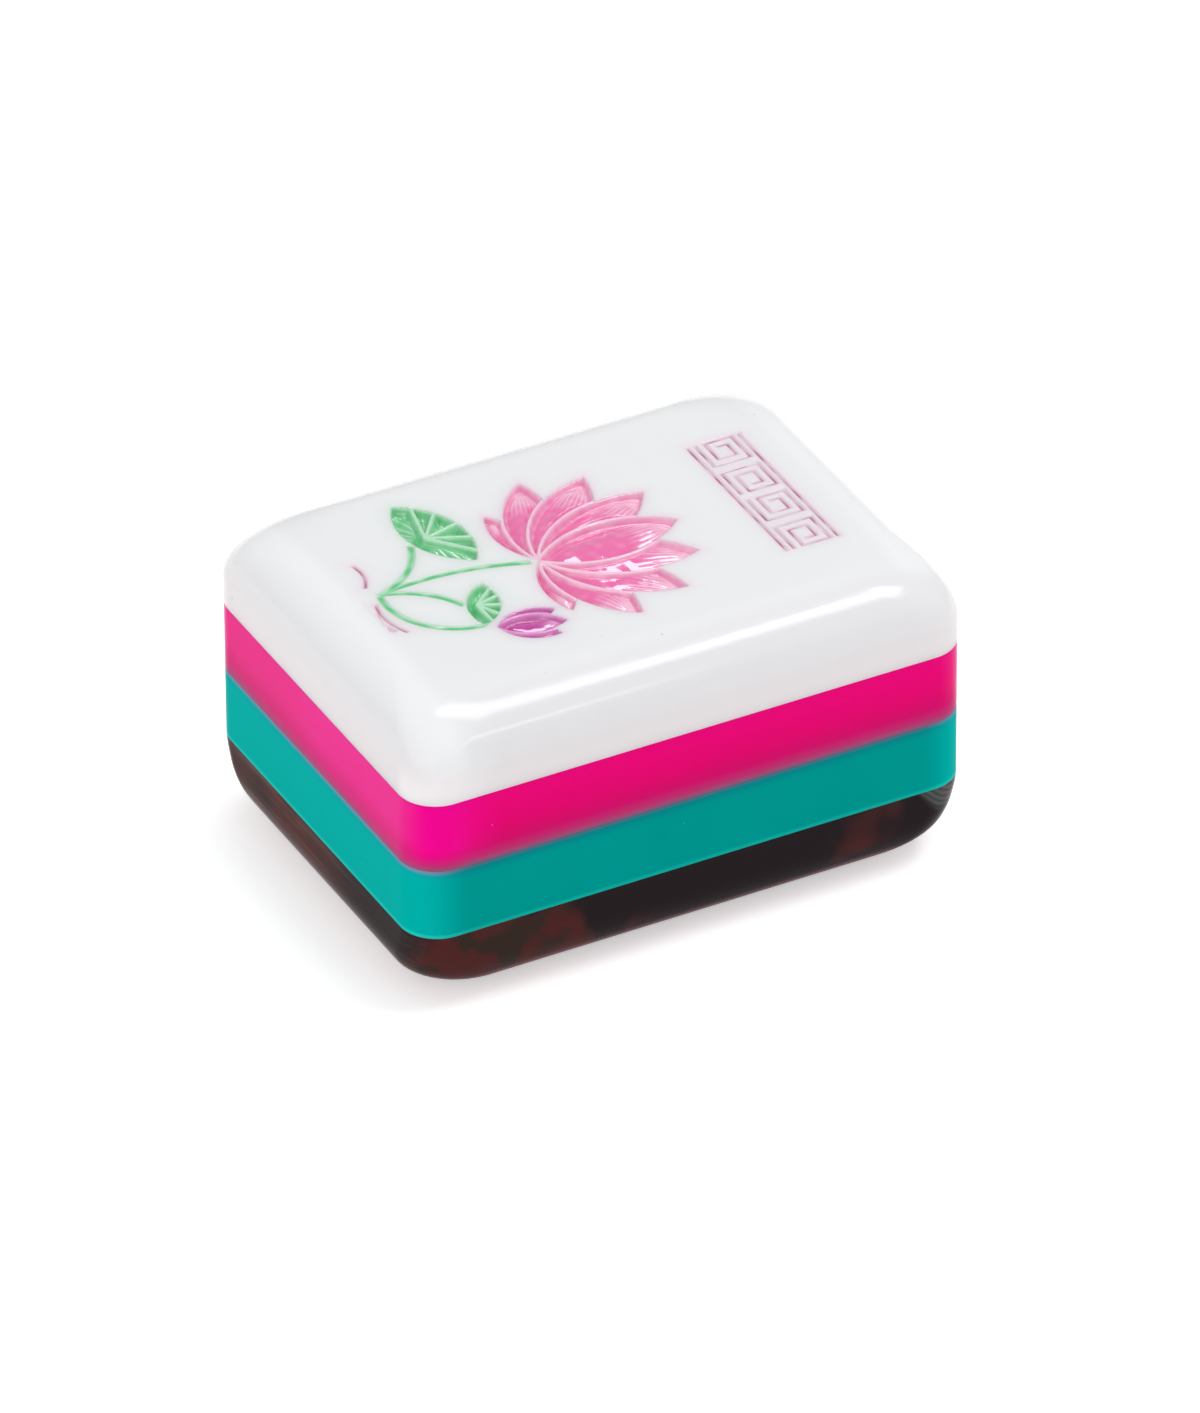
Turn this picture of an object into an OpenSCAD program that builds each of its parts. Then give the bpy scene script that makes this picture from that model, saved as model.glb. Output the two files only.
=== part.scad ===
// Laminated mahjong tile: four bonded plastic layers, with a lotus and a
// key-fret band carved into the white face and filled with glossy enamel.
// The tile lies on its back. X is its width, Y its length in the reading
// direction, Z its thickness, and the origin is the centre of the back.

/* [Tile] */
// Width of the tile, across the reading direction
tile_w = 22.0; // [20:0.1:26]
// Length of the tile, along the reading direction
tile_l = 30.2; // [28.5:0.1:36]

/* [Layers] */
// Thickness of the tortoiseshell back
back_h = 4.5; // [3.8:0.1:7]
// Thickness of the opaque teal layer
teal_h = 3.9; // [1:0.1:6]
// Thickness of the clear pink layer
pink_h = 3.8; // [1:0.1:6]
// Thickness of the white face
face_h = 4.4; // [3.6:0.1:7]

/* [Rounding] */
// Radius of the four upright edges, seen from above
upright_r = 2.0; // [1:0.1:3]
// Fillet where the sides turn into the face
face_r = 3.0; // [1.5:0.1:3.4]
// Fillet where the sides turn into the back
back_r = 3.2; // [1.5:0.1:3.6]
// Growth of the plan corner for each millimetre that the face fillet runs in
face_spread = 1.3; // [0:0.1:1.6]
// Growth of the plan corner for each millimetre that the back fillet runs in
back_spread = 0.9; // [0:0.1:1.6]
// Least half length of straight edge that the corners leave
straight_half = 1.0; // [0.5:0.1:2]

/* [Carving] */
// Depth of the pool in the middle of a petal
petal_depth = 0.65; // [0.5:0.05:1]
// Depth of the shallow step that runs round a petal's pool
step_depth = 0.3; // [0.2:0.05:0.45]
// Width of that step
step_w = 0.28; // [0.1:0.02:0.34]
// Depth of the leaf pockets
leaf_depth = 0.5; // [0.3:0.05:1]
// Depth of the fine lines
line_depth = 0.35; // [0.2:0.05:0.6]
// How far the dried enamel lies below the face
enamel_drop = 0.12; // [0.05:0.01:0.18]
// Width of the white ridge that is left between two pools of enamel
ridge_w = 0.16; // [0.1:0.02:0.3]

/* [Blossom] */
// Length of the front petal, foot to tip
petal_l = 7.5; // [5:0.1:8]
// Width of the front petal
petal_w = 3.0; // [2:0.1:3.4]

/* [Bud] */
// Length of the closed bud
bud_l = 3.4; // [2:0.1:3.8]
// Width of the bud's front petal
bud_w = 1.5; // [1:0.1:1.8]

/* [Leaves] */
// Length of the large leaf
leaf_l = 6.2; // [4:0.1:6.6]
// Width of the large leaf
leaf_w = 2.8; // [1.6:0.1:3.2]

/* [Lines] */
// Width of the stems
stem_w = 0.34; // [0.2:0.02:0.5]
// Width of the ripples under the plant
ripple_w = 0.2; // [0.12:0.02:0.3]
// Width of the fret lines
fret_w = 0.2; // [0.12:0.02:0.26]

/* [Fret band] */
// Distance from one fret line to the next
fret_pitch = 0.5; // [0.4:0.02:0.54]
// Number of square spirals in the band
fret_count = 4; // [2:1:4]
// Space between two square spirals
fret_gap = 0.5; // [0.3:0.05:0.7]
// Space between the spirals and the two border lines
fret_margin = 0.2; // [0.1:0.05:0.4]
// Distance from the band to the top of the flat face
fret_inset = 1.1; // [0.6:0.05:2]

/* [Hidden] */
$fn = 64;
// Overrun of a cut past the surface that it opens
overrun = 0.4;

// Heights of the bonded faces
teal_z = back_h;
pink_z = teal_z + teal_h;
face_z = pink_z + pink_h;
top_z = face_z + face_h;

// Facets of the lofted rims: in a quarter of a plan corner, and in a fillet
corner_steps = 12;
fillet_steps = 12;

// Half sizes of the flat part of the face, which the carving follows
flat_x = tile_w / 2 - face_r;
flat_y = tile_l / 2 - face_r;

// The blossom's foot, and its petals from the front one to the hindmost
blossom_foot_shares = [0.02, -0.23];
petal_turns = [0, 22, -22, 46, -46, 71, -71, 98, -98];
petal_length_shares = [1, 1.03, 1.03, 1, 1, 0.9, 0.9, 0.62, 0.62];
petal_width_shares = [1, 0.98, 0.98, 0.92, 0.92, 0.82, 0.82, 0.5, 0.5];
front_petals = [0];
inner_petals = [1, 2];
middle_petals = [3, 4];
outer_petals = [5, 6, 7, 8];

// The bud, its lean to the right, and its three petals
bud_foot_shares = [0.54, -0.6];
bud_lean = 18;
bud_turns = [0, 20, -20];
bud_length_shares = [1, 0.92, 0.92];
bud_width_shares = [1, 0.9, 0.9];

// Each leaf: place of its navel, tilt, and share of the large leaf's size
leaf_place_shares = [[-0.52, -0.56], [0.27, -0.6]];
leaf_tilts = [14, -24];
leaf_size_shares = [1, 0.58];
// Turns of the leaf's ribs from its upright midrib, and the navel's height in the leaf
rib_turns = [0, 38, -38, 64, -64];
navel_share = 0.3;

// Where the stems rise from the water, and how much each one bends
plant_foot_shares = [-0.1, -0.91];
main_stem_bend = 0.07;
leaf_stem_bends = [-0.14, 0.12];
bud_stem_bend = -0.24;
// Each ripple: its left end, its right end, and how much it bends
ripple_shares = [
    [[-0.46, -0.91], [-0.2, -0.94], 0.12],
    [[-0.02, -0.955], [0.34, -0.93], -0.1],
    [[0.3, -0.97], [0.08, -0.985], 0.1]
];

// One square spiral, as strokes counted in pitches: start, then run along X or Y
spiral_side = 4;
fret_strokes = [
    [[0, 0], [4, 0]], [[4, 0], [0, 4]], [[0, 4], [4, 0]], [[0, 1], [0, 3]],
    [[0, 1], [3, 0]], [[3, 1], [0, 2]], [[1, 3], [2, 0]], [[1, 2], [0, 1]]
];
spiral_w = spiral_side * fret_pitch + fret_w;
fret_l = fret_count * spiral_w + (fret_count - 1) * fret_gap;
fret_y = flat_y - fret_inset - fret_margin - fret_w - spiral_w / 2;

function on_face(shares) = [shares[0] * flat_x, shares[1] * flat_y];
blossom_foot = on_face(blossom_foot_shares);
bud_foot = on_face(bud_foot_shares);
plant_foot = on_face(plant_foot_shares);

// Outline of the tile, run in by inset, with its plan corners opened out by spread
function corner_r(inset, spread) =
    min(upright_r + spread * inset, tile_w / 2 - inset - straight_half);
function outline(inset, spread) = [
    for (quarter = [0:3], step = [0:corner_steps])
        let (
            r = corner_r(inset, spread),
            turn = 90 * (quarter + step / corner_steps),
            side_x = quarter == 0 || quarter == 3 ? 1 : -1,
            side_y = quarter < 2 ? 1 : -1
        )
        [
            side_x * (tile_w / 2 - inset - r) + r * cos(turn),
            side_y * (tile_l / 2 - inset - r) + r * sin(turn)
        ]
];

// Solid through a stack of [height, inset] levels, each with its own plan corner
module loft(levels, spread) {
    ring = 4 * (corner_steps + 1);
    last = len(levels) - 1;
    points = [for (level = levels, p = outline(level[1], spread)) [p[0], p[1], level[0]]];
    sides = [
        for (k = [0:last - 1], i = [0:ring - 1])
            let (j = (i + 1) % ring)
            [k * ring + i, (k + 1) * ring + i, (k + 1) * ring + j, k * ring + j]
    ];
    bottom = [for (i = [0:ring - 1]) i];
    top = [for (i = [ring - 1:-1:0]) last * ring + i];
    polyhedron(points, concat([bottom], sides, [top]));
}

// Levels of a fillet of radius r, from the upright side to the flat, one way or the other
function fillet_levels(r, flat_z, way) = [
    for (step = [0:fillet_steps])
        let (turn = 90 * step / fillet_steps)
        [flat_z - way * r * (1 - sin(turn)), r * (1 - cos(turn))]
];

module straight_layer(height) {
    linear_extrude(height) polygon(outline(0, 0));
}

// Pointed oval on the origin along +Y, two arcs that meet at its foot and its tip
module oval(length, width, grow = 0) {
    arc_r = (length * length + width * width) / (4 * width);
    translate([0, length / 2]) intersection() {
        translate([arc_r - width / 2, 0]) circle(arc_r + grow);
        translate([width / 2 - arc_r, 0]) circle(arc_r + grow);
    }
}

// What is carved or filled from depth up to a height, over a shape drawn on the face
module sunk(depth, up_to) {
    translate([0, 0, top_z - depth]) linear_extrude(depth + up_to) children();
}

// One petal of a fan, drawn in by a margin, less the petals that lie over it
module fan_petal(i, length, width, turns, length_shares, width_shares, margin = 0) {
    difference() {
        rotate(-turns[i]) oval(length * length_shares[i], width * width_shares[i], -margin);
        if (i > 0) for (over = [0:i - 1])
            rotate(-turns[over])
                oval(length * length_shares[over], width * width_shares[over], ridge_w + margin);
    }
}

// A petal is a deep pool inside a shallow step
module petals(which, up_to) {
    for (i = which, level = [[step_depth, 0], [petal_depth, step_w]])
        translate(blossom_foot) sunk(level[0], up_to)
            fan_petal(i, petal_l, petal_w, petal_turns, petal_length_shares,
                petal_width_shares, level[1]);
}

module bud(up_to) {
    for (i = [0:len(bud_turns) - 1]) translate(bud_foot) rotate(-bud_lean)
        sunk(leaf_depth, up_to)
            fan_petal(i, bud_l, bud_w, bud_turns, bud_length_shares, bud_width_shares);
}

// A leaf lies across, its navel at the origin, and its ribs stay standing
module leaf_shape(size_share) {
    length = leaf_l * size_share;
    width = leaf_w * size_share;
    difference() {
        translate([-length / 2, width * (1 / 2 - navel_share)]) rotate(-90) oval(length, width);
        for (turn = rib_turns) rotate(turn) translate([-ridge_w / 2, 0]) square([ridge_w, length]);
    }
}

module leaves(up_to) {
    for (i = [0:len(leaf_place_shares) - 1])
        translate(on_face(leaf_place_shares[i])) rotate(leaf_tilts[i])
            sunk(leaf_depth, up_to) leaf_shape(leaf_size_shares[i]);
}

// A fine line that bends from one point to another, bend being its rise for its chord
module fine_line(from, to, bend, width, up_to) {
    run = to - from;
    chord = norm(run);
    rise = abs(bend) * chord;
    arc_r = (chord * chord / 4 + rise * rise) / (2 * rise);
    half_turn = asin(chord / (2 * arc_r));
    out = sign(bend) * [-run[1], run[0]] / chord;
    centre = (from + to) / 2 - out * (arc_r - rise);
    translate([centre[0], centre[1], top_z - line_depth])
        rotate(atan2(out[1], out[0]) - half_turn)
            rotate_extrude(angle = 2 * half_turn)
                translate([arc_r - width / 2, 0]) square([width, line_depth + up_to]);
}

// The point that lies a distance along the way from one point to another
function toward(from, to, distance) = from + (to - from) * distance / norm(to - from);

// Foot of a leaf's stem, one ridge below the leaf's lower edge
function leaf_heel(i) =
    let (below = leaf_w * leaf_size_shares[i] * navel_share + ridge_w)
    on_face(leaf_place_shares[i]) + below * [sin(leaf_tilts[i]), -cos(leaf_tilts[i])];

module stems(up_to) {
    blossom_heel = blossom_foot - [0, ridge_w + stem_w];
    bud_heel = toward(bud_foot, plant_foot, ridge_w + stem_w);
    fine_line(plant_foot, blossom_heel, main_stem_bend, stem_w, up_to);
    fine_line(plant_foot, bud_heel, bud_stem_bend, stem_w, up_to);
    for (i = [0:len(leaf_place_shares) - 1])
        fine_line(plant_foot, leaf_heel(i), leaf_stem_bends[i], stem_w, up_to);
}

module ripples(up_to) {
    for (ripple = ripple_shares)
        fine_line(on_face(ripple[0]), on_face(ripple[1]), ripple[2], ripple_w, up_to);
}

// One square spiral, centred, drawn with square-ended strokes
module spiral() {
    half = spiral_side * fret_pitch / 2;
    for (stroke = fret_strokes)
        translate(stroke[0] * fret_pitch - [half + fret_w / 2, half + fret_w / 2])
            square(stroke[1] * fret_pitch + [fret_w, fret_w]);
}

module fret(up_to) {
    sunk(line_depth, up_to) {
        for (i = [0:fret_count - 1])
            translate([(spiral_w - fret_l) / 2 + i * (spiral_w + fret_gap), fret_y])
                mirror([i % 2, 0]) spiral();
        for (side = [-1, 1])
            translate([0, fret_y + side * (spiral_w / 2 + fret_margin + fret_w / 2)])
                square([fret_l, fret_w], center = true);
    }
}

module face_layer() color("whitesmoke") difference() {
    loft(concat([[face_z, 0]], fillet_levels(min(face_r, face_h - overrun), top_z, 1)), face_spread);
    petals([0:len(petal_turns) - 1], overrun);
    bud(overrun);
    leaves(overrun);
    stems(overrun);
    ripples(overrun);
    fret(overrun);
}

module pink_layer() color("deeppink", 0.85) translate([0, 0, pink_z]) straight_layer(pink_h);

module teal_layer() color("lightseagreen") translate([0, 0, teal_z]) straight_layer(teal_h);

module back_layer() color([0.16, 0.1, 0.09])
    loft(concat([for (k = [fillet_steps:-1:0]) fillet_levels(back_r, 0, -1)[k]], [[back_h, 0]]),
        back_spread);

module front_petal_enamel() color("hotpink") petals(front_petals, -enamel_drop);

module inner_petal_enamel() color("hotpink") petals(inner_petals, -enamel_drop);

module middle_petal_enamel() color("palevioletred") petals(middle_petals, -enamel_drop);

module outer_petal_enamel() color("palevioletred") petals(outer_petals, -enamel_drop);

module bud_enamel() color("mediumorchid") bud(-enamel_drop);

module leaf_enamel() color("mediumseagreen") leaves(-enamel_drop);

module stem_enamel() color("mediumseagreen") stems(-enamel_drop);

module ripple_enamel() color("plum") ripples(-enamel_drop);

module fret_enamel() color("plum") fret(-enamel_drop);

face_layer();
pink_layer();
teal_layer();
back_layer();
front_petal_enamel();
inner_petal_enamel();
middle_petal_enamel();
outer_petal_enamel();
bud_enamel();
leaf_enamel();
stem_enamel();
ripple_enamel();
fret_enamel();
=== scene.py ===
# %% [markdown]
# # A laminated mahjong tile
#
# A thick game tile is cut from a sheet of four bonded plastics: a white face, a clear pink
# layer, an opaque teal layer and a tortoiseshell back. Its edges are rounded and the whole
# tile is tumbled until it shines. The face is carved, and the carving is filled with glossy
# enamel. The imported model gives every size, so this lesson is about finish: soft rounded
# plastics, carving with real depth, and pools of enamel that catch the light.

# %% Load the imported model
import math

import bmesh
import bpy
import numpy as np
from mathutils import Matrix, Vector


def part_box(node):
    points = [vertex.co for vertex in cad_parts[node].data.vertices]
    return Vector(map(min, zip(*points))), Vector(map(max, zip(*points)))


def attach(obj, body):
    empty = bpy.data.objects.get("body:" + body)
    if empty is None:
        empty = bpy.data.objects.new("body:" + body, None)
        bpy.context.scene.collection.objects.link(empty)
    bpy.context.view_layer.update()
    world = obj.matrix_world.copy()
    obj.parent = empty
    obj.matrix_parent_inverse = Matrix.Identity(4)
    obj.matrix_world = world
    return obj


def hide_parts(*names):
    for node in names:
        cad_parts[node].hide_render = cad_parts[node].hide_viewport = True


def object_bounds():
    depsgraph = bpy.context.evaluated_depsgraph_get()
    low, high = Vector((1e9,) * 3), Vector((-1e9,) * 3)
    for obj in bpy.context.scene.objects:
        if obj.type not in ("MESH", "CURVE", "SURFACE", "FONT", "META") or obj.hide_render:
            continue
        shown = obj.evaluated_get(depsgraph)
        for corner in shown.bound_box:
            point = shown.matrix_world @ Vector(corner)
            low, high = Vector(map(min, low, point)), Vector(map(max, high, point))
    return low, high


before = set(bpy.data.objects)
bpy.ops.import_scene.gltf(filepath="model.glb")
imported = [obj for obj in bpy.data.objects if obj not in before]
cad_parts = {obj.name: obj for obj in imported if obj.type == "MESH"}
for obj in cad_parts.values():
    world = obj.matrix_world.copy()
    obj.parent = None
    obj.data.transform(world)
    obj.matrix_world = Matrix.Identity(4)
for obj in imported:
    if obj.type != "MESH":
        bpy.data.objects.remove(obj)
cad_low, cad_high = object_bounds()
print("packed tile, mm:", [round(1000 * (b - a), 2) for a, b in zip(cad_low, cad_high)])

# %% [markdown]
# ## Sizes
#
# Small things are easiest to think of in millimetres, and Blender works in metres, so the
# meshes are shaped in millimetres and scaled once at the end. The heights of the layers come
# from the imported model. The rounding isn't a number that a box can tell, so it is named here.
# The upright edges have a small radius, and each corner opens out as the fillet runs inwards:
# a spread says by how much its radius grows for each millimetre of inset. Tumbling wears the
# back's corners most, so they begin to open out just under the teal.

# %% Sizes in millimetres
MM = 0.001
TILE_W = (cad_high.x - cad_low.x) / MM
TILE_L = (cad_high.y - cad_low.y) / MM
TEAL_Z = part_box("teal_layer")[0].z / MM
PINK_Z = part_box("pink_layer")[0].z / MM
FACE_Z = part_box("face_layer")[0].z / MM
TOP_Z = cad_high.z / MM
UPRIGHT_R = 2.0
FACE_R = 3.0
BACK_R = 3.2
FACE_SPREAD = 1.3
BACK_SPREAD = 0.9
BACK_WEAR = 0.8
BACK_WEAR_H = 2.2
FLAT_X = TILE_W / 2 - FACE_R
FLAT_Y = TILE_L / 2 - FACE_R
print("layers start at", [round(z, 2) for z in (TEAL_Z, PINK_Z, FACE_Z, TOP_Z)])

# %% [markdown]
# ## Camera
#
# The photograph was taken with a long lens from far off, so lines that are parallel on the
# tile stay almost parallel. The place below is the one that makes the tile's straight edges
# fall where the photograph has them. The lens is longer than the photograph's, which makes the
# tile larger in the picture without changing the angle from which it is seen.

# %% Camera
CAMERA_MM = Vector((564.9, -297.0, 440.8))
AIM_MM = Vector((0.35, 0.35, 7.1))
LENS_MM = 404.0
ROLL_DEG = -0.32
SENSOR_MM = 36.0
CLIP_M = (0.01, 20.0)

camera_data = bpy.data.cameras.new("camera")
camera = bpy.data.objects.new("camera", camera_data)
bpy.context.scene.collection.objects.link(camera)
camera.location = CAMERA_MM * MM
aim = (AIM_MM - CAMERA_MM).to_track_quat("-Z", "Y")
roll = Matrix.Rotation(math.radians(ROLL_DEG), 4, "Z")
camera.rotation_euler = (aim.to_matrix().to_4x4() @ roll).to_euler()
camera_data.lens = LENS_MM
camera_data.sensor_width = SENSOR_MM
camera_data.clip_start, camera_data.clip_end = CLIP_M
bpy.context.scene.camera = camera
print("camera distance, mm:", round((CAMERA_MM - AIM_MM).length, 1))

# %% [markdown]
# ## The carving's plan
#
# A carved face is a map of depths, so the whole design is written as gaps: for any point of
# the face, how far it lies from a shape's edge, with minus inside. From gaps come the floor of
# the carving, the surface of the enamel and the places where its film is thin. The shapes are
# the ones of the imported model: a lotus made from a fan of pointed ovals, a bud, two leaves,
# bent stems, ripples and a key fret.

# %% Gaps to simple shapes
RIDGE_W = 0.16


def oval_gap(x, y, length, width, turn=0.0, foot=(0.0, 0.0)):
    """Gap to a pointed oval that stands on foot and leans clockwise by turn degrees."""
    c, s = math.cos(math.radians(turn)), math.sin(math.radians(turn))
    dx, dy = x - foot[0], y - foot[1]
    across, along = dx * c - dy * s, dx * s + dy * c - length / 2
    arc_r = (length * length + width * width) / (4 * width)
    off = arc_r - width / 2
    return np.maximum(np.hypot(across - off, along), np.hypot(across + off, along)) - arc_r


def bent_line_gap(x, y, start, end, bend, width):
    """Gap to a line that bends from start to end, bend being its rise for its chord."""
    start, end = np.array(start), np.array(end)
    run = end - start
    chord = np.hypot(*run)
    rise = abs(bend) * chord
    arc_r = (chord * chord / 4 + rise * rise) / (2 * rise)
    out = math.copysign(1, bend) * np.array([-run[1], run[0]]) / chord
    centre = (start + end) / 2 - out * (arc_r - rise)
    dx, dy = x - centre[0], y - centre[1]
    beside = np.abs(np.hypot(dx, dy) - arc_r) - width / 2
    past = np.abs(dx * out[1] - dy * out[0]) - chord / 2
    behind = -(dx * out[0] + dy * out[1])
    return np.maximum(beside, np.maximum(past, behind))


def box_gap(x, y, low, high):
    """Gap to an upright rectangle."""
    gap_x = np.maximum(low[0] - x, x - high[0])
    gap_y = np.maximum(low[1] - y, y - high[1])
    inside = np.minimum(np.maximum(gap_x, gap_y), 0)
    return np.hypot(np.maximum(gap_x, 0), np.maximum(gap_y, 0)) + inside


def on_face(shares):
    """A place on the face, given as shares of the half sizes of its flat part."""
    return np.array([shares[0] * FLAT_X, shares[1] * FLAT_Y])


print("flat part of the face, mm:", round(2 * FLAT_X, 2), "x", round(2 * FLAT_Y, 2))

# %% [markdown]
# A fan of petals overlaps like tiles on a roof: the front petal is whole, and each other one
# is what the petals before it leave free. One function gives every petal its own pool, and
# the outline of the whole fan, which the film of enamel covers, ridges and all.

# %% Sizes of the lotus, the bud and the leaves
PETAL_L, PETAL_W = 7.5, 3.0
BLOSSOM_FOOT = on_face((0.02, -0.23))
PETAL_TURNS = (0, 22, -22, 46, -46, 71, -71, 98, -98)
PETAL_LENGTH_SHARES = (1, 1.03, 1.03, 1, 1, 0.9, 0.9, 0.62, 0.62)
PETAL_WIDTH_SHARES = (1, 0.98, 0.98, 0.92, 0.92, 0.82, 0.82, 0.5, 0.5)
BUD_L, BUD_W, BUD_LEAN = 3.4, 1.5, 18
BUD_FOOT = on_face((0.54, -0.6))
BUD_TURNS = (0, 20, -20)
BUD_SHARES = (1, 0.92, 0.92)
LEAF_L, LEAF_W, NAVEL_SHARE = 6.2, 2.8, 0.3
LEAF_PLACES = (on_face((-0.52, -0.56)), on_face((0.27, -0.6)))
LEAF_TILTS = (14, -24)
LEAF_SIZE_SHARES = (1, 0.58)
RIB_TURNS = (0, 38, -38, 64, -64)
print("petals:", len(PETAL_TURNS), "leaves:", len(LEAF_PLACES), "ribs in a leaf:", len(RIB_TURNS))

# %% [markdown]
# A petal isn't flat. It swells along its middle and is combed with fine veins, which show
# towards its tip and along its sides and fade out towards its foot. A leaf's veins run out from
# its navel instead, and its ribs stand up between the pools.

# %% Relief of a petal, a fan of petals and a leaf
PETAL_VEIN_W = 0.07
PETAL_VEINS = [0.21 * n for n in range(-4, 5)]
THINNEST_HALF = 0.05
LEAF_VEIN_W = 0.055
LEAF_VEIN_TURN = 9.5
FAR_OFF = 9.0


def ease(t):
    """A smooth step from 0 at t = 0 to 1 at t = 1."""
    t = np.clip(t, 0, 1)
    return t * t * (3 - 2 * t)


def petal_relief(x, y, length, width, turn, foot):
    """Swell of a petal, 1 along its middle, its veins, and how much of them shows."""
    c, s = math.cos(math.radians(turn)), math.sin(math.radians(turn))
    dx, dy = x - foot[0], y - foot[1]
    across, along = dx * c - dy * s, dx * s + dy * c
    arc_r = (length * length + width * width) / (4 * width)
    half = np.sqrt(np.maximum(arc_r**2 - (along - length / 2) ** 2, 0)) - (arc_r - width / 2)
    half = np.maximum(half, THINNEST_HALF)
    share = np.clip(across / half, -1, 1)
    crests = sum(np.exp(-(((share - q) * half / PETAL_VEIN_W) ** 2)) for q in PETAL_VEINS)
    swell = (1 - share * share) * ease(2 * half / width / 0.8)
    to_tip, to_side = (along / length - 0.55) / 0.25, (np.abs(share) - 0.74) / 0.2
    from_foot = (along / length - 0.1) / 0.2
    combed = np.maximum(ease(to_tip), ease(to_side)) * ease(from_foot)
    return swell, np.minimum(crests, 1), combed


def fan(x, y, foot, length, width, turns, length_shares, width_shares, lean=0):
    """Pool gaps of a fan's petals, its outline's gap, its swell, veins and combed parts."""
    ovals = [
        oval_gap(x, y, length * a, width * b, turn + lean, foot)
        for turn, a, b in zip(turns, length_shares, width_shares)
    ]
    pools, swell, veins, combed = [], *(np.zeros_like(x) for _ in range(3))
    for i, oval in enumerate(ovals):
        free = oval
        for over in ovals[:i]:
            free = np.maximum(free, RIDGE_W - over)
        pools.append(free)
        own = petal_relief(
            x, y, length * length_shares[i], width * width_shares[i], turns[i] + lean, foot
        )
        swell, veins, combed = (
            np.where(free < 0, new, old) for new, old in zip(own, (swell, veins, combed))
        )
    return pools, np.minimum.reduce(ovals), swell, veins, combed


def leaf(x, y, i):
    """The same five of one leaf. Its ribs stay standing between its pools."""
    length, width = LEAF_L * LEAF_SIZE_SHARES[i], LEAF_W * LEAF_SIZE_SHARES[i]
    tilt = math.radians(LEAF_TILTS[i])
    dx, dy = x - LEAF_PLACES[i][0], y - LEAF_PLACES[i][1]
    along = dx * math.cos(tilt) + dy * math.sin(tilt)
    up = dy * math.cos(tilt) - dx * math.sin(tilt)
    outline = oval_gap(along, up, length, width, 90, (-length / 2, width * (0.5 - NAVEL_SHARE)))
    ribs = np.full_like(x, FAR_OFF)
    for turn in RIB_TURNS:
        c, s = math.cos(math.radians(turn)), math.sin(math.radians(turn))
        rib = np.maximum(np.abs(along * c + up * s) - RIDGE_W / 2, along * s - up * c)
        ribs = np.minimum(ribs, rib)
    swell = ease((-outline - RIDGE_W) / (0.35 * width)) * ease(ribs / 0.3)
    reach, vein_turn = np.hypot(along, up), math.radians(LEAF_VEIN_TURN)
    off_vein = np.remainder(np.arctan2(along, up), vein_turn) - vein_turn / 2
    veins = np.exp(-((off_vein * reach / LEAF_VEIN_W) ** 2))
    return np.maximum(outline, -ribs), outline, swell, veins, ease((reach - 0.5) / 0.5)


print("veins in a petal:", len(PETAL_VEINS))

# %% [markdown]
# The lines are simpler, because a line has one groove and one thread of enamel. The fret is a
# row of square spirals between two borders. Every other spiral is mirrored, so that the band
# reads the same from both ends.

# %% Stems, ripples and fret
STEM_W, RIPPLE_W, FRET_W = 0.34, 0.2, 0.2
PLANT_FOOT = on_face((-0.1, -0.91))
BLOSSOM_STEM_BEND, BUD_STEM_BEND, LEAF_STEM_BENDS = 0.07, -0.24, (-0.14, 0.12)
RIPPLES = (
    ((-0.46, -0.91), (-0.2, -0.94), 0.12),
    ((-0.02, -0.955), (0.34, -0.93), -0.1),
    ((0.3, -0.97), (0.08, -0.985), 0.1),
)
FRET_PITCH, FRET_COUNT, FRET_GAP, FRET_MARGIN, FRET_INSET = 0.5, 4, 0.5, 0.2, 1.1
FRET_STROKES = (
    ((0, 0), (4, 0)), ((4, 0), (0, 4)), ((0, 4), (4, 0)), ((0, 1), (0, 3)),
    ((0, 1), (3, 0)), ((3, 1), (0, 2)), ((1, 3), (2, 0)), ((1, 2), (0, 1)),
)
SPIRAL_W = 4 * FRET_PITCH + FRET_W
FRET_L = FRET_COUNT * SPIRAL_W + (FRET_COUNT - 1) * FRET_GAP
FRET_Y = FLAT_Y - FRET_INSET - FRET_MARGIN - FRET_W - SPIRAL_W / 2


def stem_gap(x, y):
    """Gap to the four stems that rise from the plant's foot."""
    blossom_heel = BLOSSOM_FOOT - np.array([0, RIDGE_W + STEM_W])
    to_foot = PLANT_FOOT - BUD_FOOT
    bud_heel = BUD_FOOT + to_foot * (RIDGE_W + STEM_W) / np.hypot(*to_foot)
    ends = [(blossom_heel, BLOSSOM_STEM_BEND), (bud_heel, BUD_STEM_BEND)]
    for i, bend in enumerate(LEAF_STEM_BENDS):
        tilt = math.radians(LEAF_TILTS[i])
        below = LEAF_W * LEAF_SIZE_SHARES[i] * NAVEL_SHARE + RIDGE_W
        ends.append((LEAF_PLACES[i] + below * np.array([math.sin(tilt), -math.cos(tilt)]), bend))
    stems = [bent_line_gap(x, y, PLANT_FOOT, heel, bend, STEM_W) for heel, bend in ends]
    return np.minimum.reduce(stems)


def ripple_gap(x, y):
    """Gap to the ripples under the plant."""
    lines = [bent_line_gap(x, y, on_face(a), on_face(b), bend, RIPPLE_W) for a, b, bend in RIPPLES]
    return np.minimum.reduce(lines)


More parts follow.
